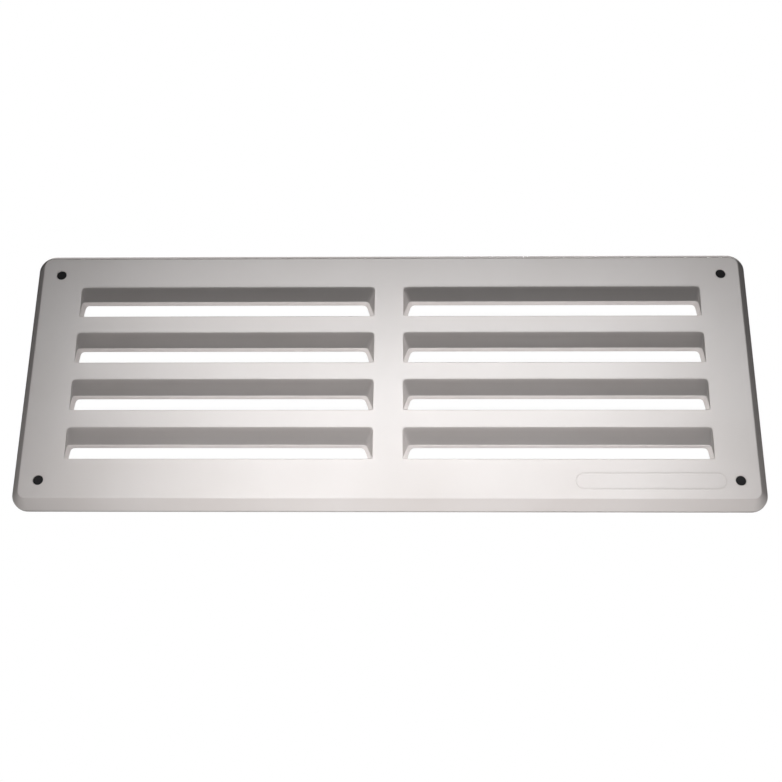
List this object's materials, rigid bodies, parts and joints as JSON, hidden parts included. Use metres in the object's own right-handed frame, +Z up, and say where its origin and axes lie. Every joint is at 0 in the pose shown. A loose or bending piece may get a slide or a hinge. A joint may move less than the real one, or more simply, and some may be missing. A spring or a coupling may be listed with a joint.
{
  "type": "louvred vent",
  "caption": "Flat rectangular wall ventilator with a bevelled rim, forward-hooded louvre slots either side of a middle bar, and corner screw holes.",
  "frame": {"origin": "middle of the four screw holes on the back plane, where the rim meets the wall", "axes": "+X along the width to the viewer's right, +Z up as mounted, the face looks along -Y"},
  "size_m": [0.26, 0.0104, 0.0984],
  "materials": {
    "moulded_plastic": "satin white moulded"
  },
  "bodies": {
    "root": {"face_panel": "moulded_plastic", "rim_skirt": "moulded_plastic", "hood_left_1": "moulded_plastic", "hood_left_2": "moulded_plastic", "hood_left_3": "moulded_plastic", "hood_left_4": "moulded_plastic", "hood_right_1": "moulded_plastic", "hood_right_2": "moulded_plastic", "hood_right_3": "moulded_plastic", "hood_right_4": "moulded_plastic", "screw_boss_top_left": "moulded_plastic", "screw_boss_top_right": "moulded_plastic", "screw_boss_bottom_left": "moulded_plastic", "screw_boss_bottom_right": "moulded_plastic", "middle_rib": "moulded_plastic"}
  },
  "joints": []
}
